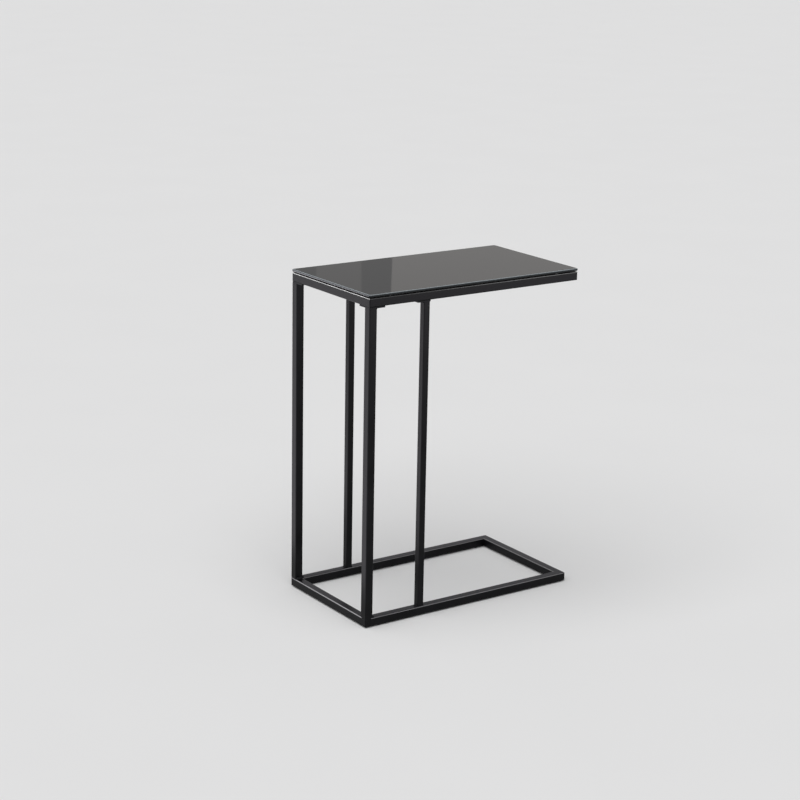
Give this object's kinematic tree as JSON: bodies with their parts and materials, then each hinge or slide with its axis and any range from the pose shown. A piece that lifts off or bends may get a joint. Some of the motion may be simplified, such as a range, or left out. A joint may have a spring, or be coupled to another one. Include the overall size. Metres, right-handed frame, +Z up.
{
  "type": "c-shaped side table",
  "caption": "C-shaped sofa side table: a black square-tube steel frame, open on one side, with a loose black glass top on a mitred ring over a ring that lies on the floor.",
  "frame": {"origin": "on the floor under the middle of the table", "axes": "+Z up; +X along the length towards the open side of the C; +Y from front to rear"},
  "size_m": [0.461, 0.256, 0.612],
  "materials": {
    "black_steel": "satin black powder coat",
    "black_glass": "polished tempered glass, painted black underneath, so opaque",
    "clear_pad": "clear soft plastic",
    "black_zinc": "black zinc plate",
    "zinc_steel": "bright zinc plate",
    "glide_plastic": "moulded black plastic"
  },
  "bodies": {
    "frame": {"base_rail_front": "black_steel", "base_rail_left": "black_steel", "base_rail_rear": "black_steel", "base_rail_right": "black_steel", "corner_plate_front": "black_steel", "corner_plate_rear": "black_steel", "corner_post_front": "black_steel", "corner_post_rear": "black_steel", "floor_glide_front_left": "glide_plastic", "floor_glide_front_right": "glide_plastic", "floor_glide_rear_left": "glide_plastic", "floor_glide_rear_right": "glide_plastic", "glass_pad_front_left": "clear_pad", "glass_pad_front_right": "clear_pad", "glass_pad_rear_left": "clear_pad", "glass_pad_rear_right": "clear_pad", "mid_plate_front": "black_steel", "mid_plate_rear": "black_steel", "mid_post_front": "black_steel", "mid_post_rear": "black_steel", "plate_screws": "black_zinc", "rivet_nuts": "zinc_steel", "top_rail_front": "black_steel", "top_rail_left": "black_steel", "top_rail_rear": "black_steel", "top_rail_right": "black_steel"},
    "glass": {"glass_top": "black_glass"}
  },
  "joints": [
    {"name": "glass_lift", "type": "slide", "parent": "frame", "child": "glass", "axis": [0, 0, 1], "range_m": [0, 0.1]}
  ]
}
